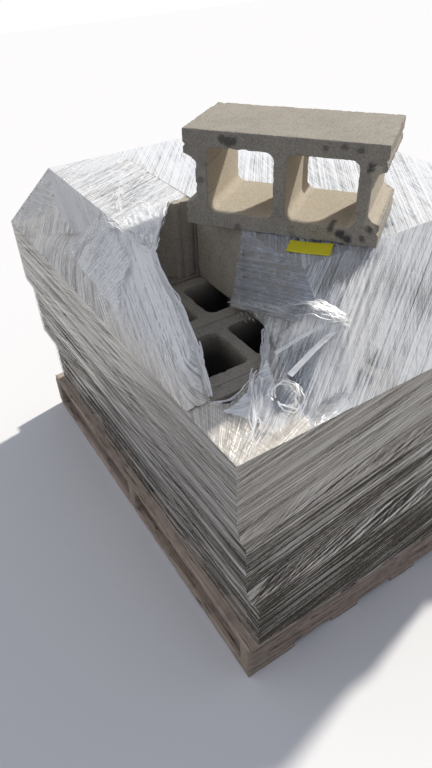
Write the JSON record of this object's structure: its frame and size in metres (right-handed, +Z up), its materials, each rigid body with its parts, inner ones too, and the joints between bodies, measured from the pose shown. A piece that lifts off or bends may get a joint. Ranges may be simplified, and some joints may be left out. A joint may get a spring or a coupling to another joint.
{
  "type": "pallet of concrete blocks",
  "caption": "Timber pallet of stacked two-core hollow concrete blocks in clear stretch film, torn open at one corner, with a lifted block lying on top.",
  "frame": {"origin": "the middle of the pallet's underside, on the floor", "axes": "+Z up, +X along the stringers (the pallet's 40 inch side), +Y along the deck boards (its 48 inch side) away from the torn corner"},
  "size_m": [1.0348, 1.2378, 1.1],
  "materials": {
    "concrete": "pressed dry-mix concrete, pale warm grey, fine open grain",
    "pallet_wood": "rough-sawn softwood, weathered brown-grey",
    "film": "clear stretch film in many streaky layers",
    "tag_card": "bare yellow card"
  },
  "bodies": {
    "root": {"stringer_near": "pallet_wood", "stringer_middle": "pallet_wood", "stringer_far": "pallet_wood", "top_board_1": "pallet_wood", "top_board_2": "pallet_wood", "top_board_3": "pallet_wood", "top_board_4": "pallet_wood", "top_board_5": "pallet_wood", "top_board_6": "pallet_wood", "top_board_7": "pallet_wood", "bottom_board_1": "pallet_wood", "bottom_board_2": "pallet_wood", "bottom_board_3": "pallet_wood", "bottom_board_4": "pallet_wood", "bottom_board_5": "pallet_wood", "block_course_1": "concrete", "block_course_2": "concrete", "block_course_3": "concrete", "block_course_4": "concrete", "loose_block": "concrete", "stretch_film": "film", "lot_tag": "tag_card"}
  },
  "joints": []
}
